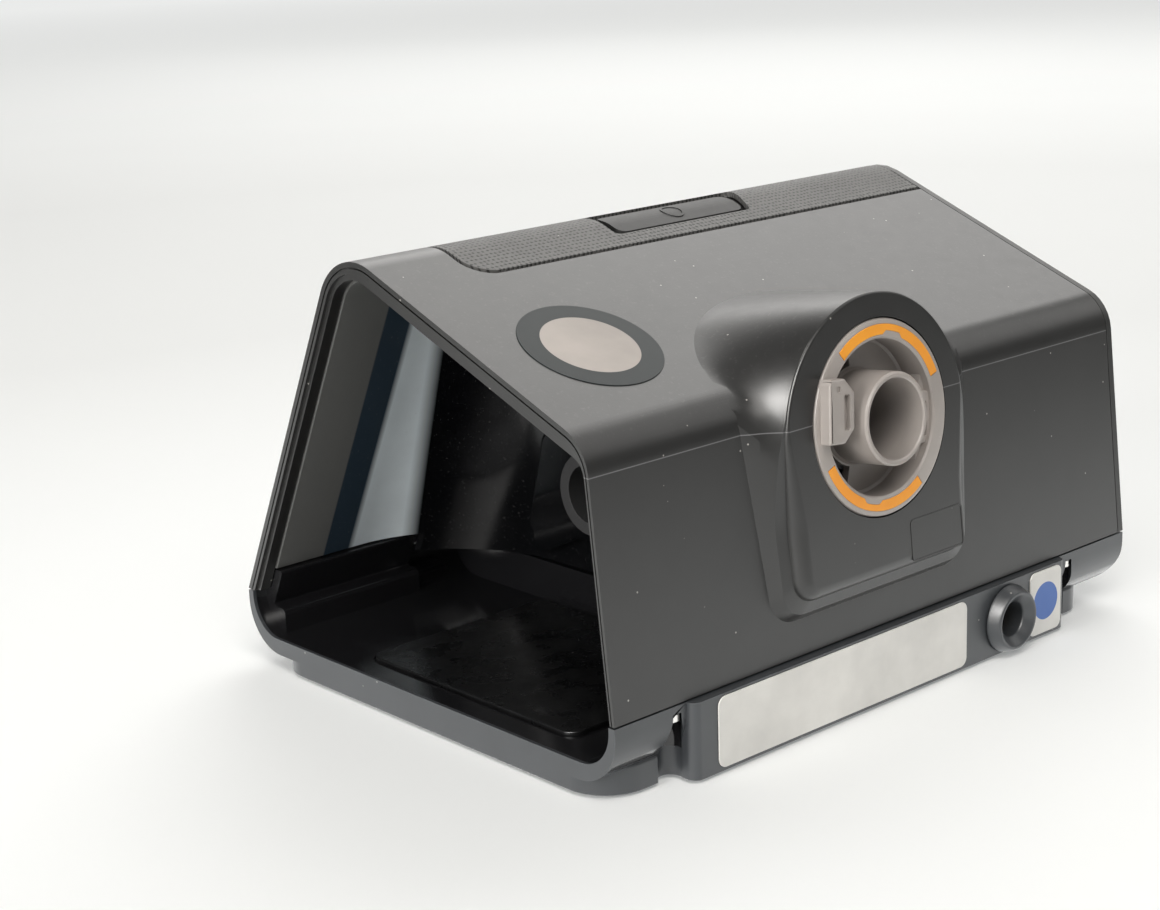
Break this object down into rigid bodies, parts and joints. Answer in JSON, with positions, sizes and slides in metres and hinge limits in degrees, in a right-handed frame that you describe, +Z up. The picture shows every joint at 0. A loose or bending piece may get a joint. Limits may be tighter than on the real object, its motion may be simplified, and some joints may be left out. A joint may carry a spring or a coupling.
{
  "type": "cpap machine",
  "caption": "Bedside CPAP machine with an open water tub bay, an air outlet and power socket at the back, and a display with a dial.",
  "frame": {"origin": "centre of the bounding box at its underside", "axes": "+X to the open side of the tub bay, -Y to the display side, +Y to the air outlet, +Z up"},
  "size_m": [0.1988, 0.1524, 0.1167],
  "materials": {
    "case_grey": "fine texture",
    "base_grey": "fine texture",
    "panel_grain": "leather-like grain",
    "button_grey": "satin",
    "bay_black": "high gloss",
    "seal_black": "matt",
    "connector_grey": "satin",
    "band_orange": "satin",
    "label_white": "satin",
    "display_black": "high gloss",
    "lens": "clear over black",
    "knob_grey": "satin",
    "board_green": "satin",
    "steel": "brushed",
    "plate_steel": "dark satin",
    "copper": "wound wire",
    "contact_gold": "polished",
    "filter_white": "felted",
    "inner_grey": "satin",
    "blower_white": "satin",
    "film_brown": "satin"
  },
  "bodies": {
    "housing": {"upper_case": "case_grey", "base_tray": "base_grey", "top_panel": "panel_grain", "start_stop_switch": "board_green", "bay_liner": "bay_black", "inlet_port_seal": "seal_black", "outlet_port_seal": "seal_black", "outlet_elbow": "connector_grey", "power_inlet": "base_grey", "power_contacts": "contact_gold", "label_plate": "label_white", "notice_sticker": "label_white", "round_sticker": "label_white", "display_panel": "display_black", "screen_lens": "lens", "display_module": "steel", "control_board": "board_green", "dial_encoder": "steel", "home_switch": "seal_black", "side_panel": "case_grey", "air_filter": "filter_white", "card_socket": "steel", "accessory_socket": "seal_black", "main_board": "board_green", "muffler_box": "inner_grey", "blower_mount": "seal_black", "volute_lower": "blower_white", "volute_lid": "blower_white", "motor_stator": "copper", "bearing_lower": "steel", "bearing_upper": "steel", "motor_cap": "steel", "blower_duct": "inner_grey", "heater_spring_1": "steel", "heater_spring_2": "steel", "heater_spring_3": "steel", "heater_spring_4": "steel", "case_screw_rear_right": "steel", "case_screw_rear_left": "steel", "case_screw_front_right": "steel", "case_screw_front_left": "steel", "foot_1": "seal_black", "foot_2": "seal_black", "foot_3": "seal_black", "foot_4": "seal_black"},
    "start_button": {"start_stop_button": "button_grey"},
    "home_key": {"home_button": "knob_grey"},
    "dial_shaft": {"dial_plunger": "steel"},
    "dial_knob": {"dial": "knob_grey"},
    "filter_door": {"filter_cover": "case_grey"},
    "card_door": {"card_cover": "case_grey"},
    "accessory_lid": {"accessory_cover": "case_grey"},
    "heater": {"heater_plate": "plate_steel", "heater_element": "film_brown"},
    "rotor": {"impeller": "blower_white", "motor_shaft": "steel", "rotor_magnet": "plate_steel"},
    "outlet": {"outlet_connector": "connector_grey", "orange_band_upper": "band_orange", "orange_band_lower": "band_orange"}
  },
  "joints": [
    {"name": "start_stop_press", "type": "slide", "parent": "housing", "child": "start_button", "axis": [0, 0, -1], "range_m": [0, 0.0005], "stiffness_N_per_m": 1500, "springref_m": -0.0004},
    {"name": "home_press", "type": "slide", "parent": "housing", "child": "home_key", "axis": [0, 0.8976, -0.4408], "range_m": [0, 0.0004], "stiffness_N_per_m": 1500, "springref_m": -0.0004},
    {"name": "dial_press", "type": "slide", "parent": "housing", "child": "dial_shaft", "axis": [0, 0.8976, -0.4408], "range_m": [0, 0.0005], "stiffness_N_per_m": 1500, "springref_m": -0.0004},
    {"name": "dial_turn", "type": "hinge", "parent": "dial_shaft", "child": "dial_knob", "pos_m": [-0.004, -0.06396, 0.04593], "axis": [0, -0.8976, 0.4408], "continuous": true},
    {"name": "filter_door_hinge", "type": "hinge", "parent": "housing", "child": "filter_door", "pos_m": [-0.0988, 0.036, 0.0288], "axis": [0, -1, 0], "range_deg": [0, 90]},
    {"name": "card_door_hinge", "type": "hinge", "parent": "housing", "child": "card_door", "pos_m": [-0.0988, -0.037, 0.0278], "axis": [0, -1, 0], "range_deg": [0, 90]},
    {"name": "accessory_lid_pull", "type": "slide", "parent": "housing", "child": "accessory_lid", "axis": [-1, 0, 0], "range_m": [0, 0.03]},
    {"name": "heater_plate_press", "type": "slide", "parent": "housing", "child": "heater", "axis": [0, 0, -1], "range_m": [0, 0.0012], "stiffness_N_per_m": 2500, "springref_m": -0.001, "deforming": ["heater_spring_1", "heater_spring_2", "heater_spring_3", "heater_spring_4"]},
    {"name": "impeller_spin", "type": "hinge", "parent": "housing", "child": "rotor", "pos_m": [-0.04, 0.016, 0.05], "axis": [0, 0, 1], "continuous": true},
    {"name": "outlet_pull", "type": "slide", "parent": "housing", "child": "outlet", "axis": [0, 0.9945, 0.1045], "range_m": [0, 0.035]}
  ]
}
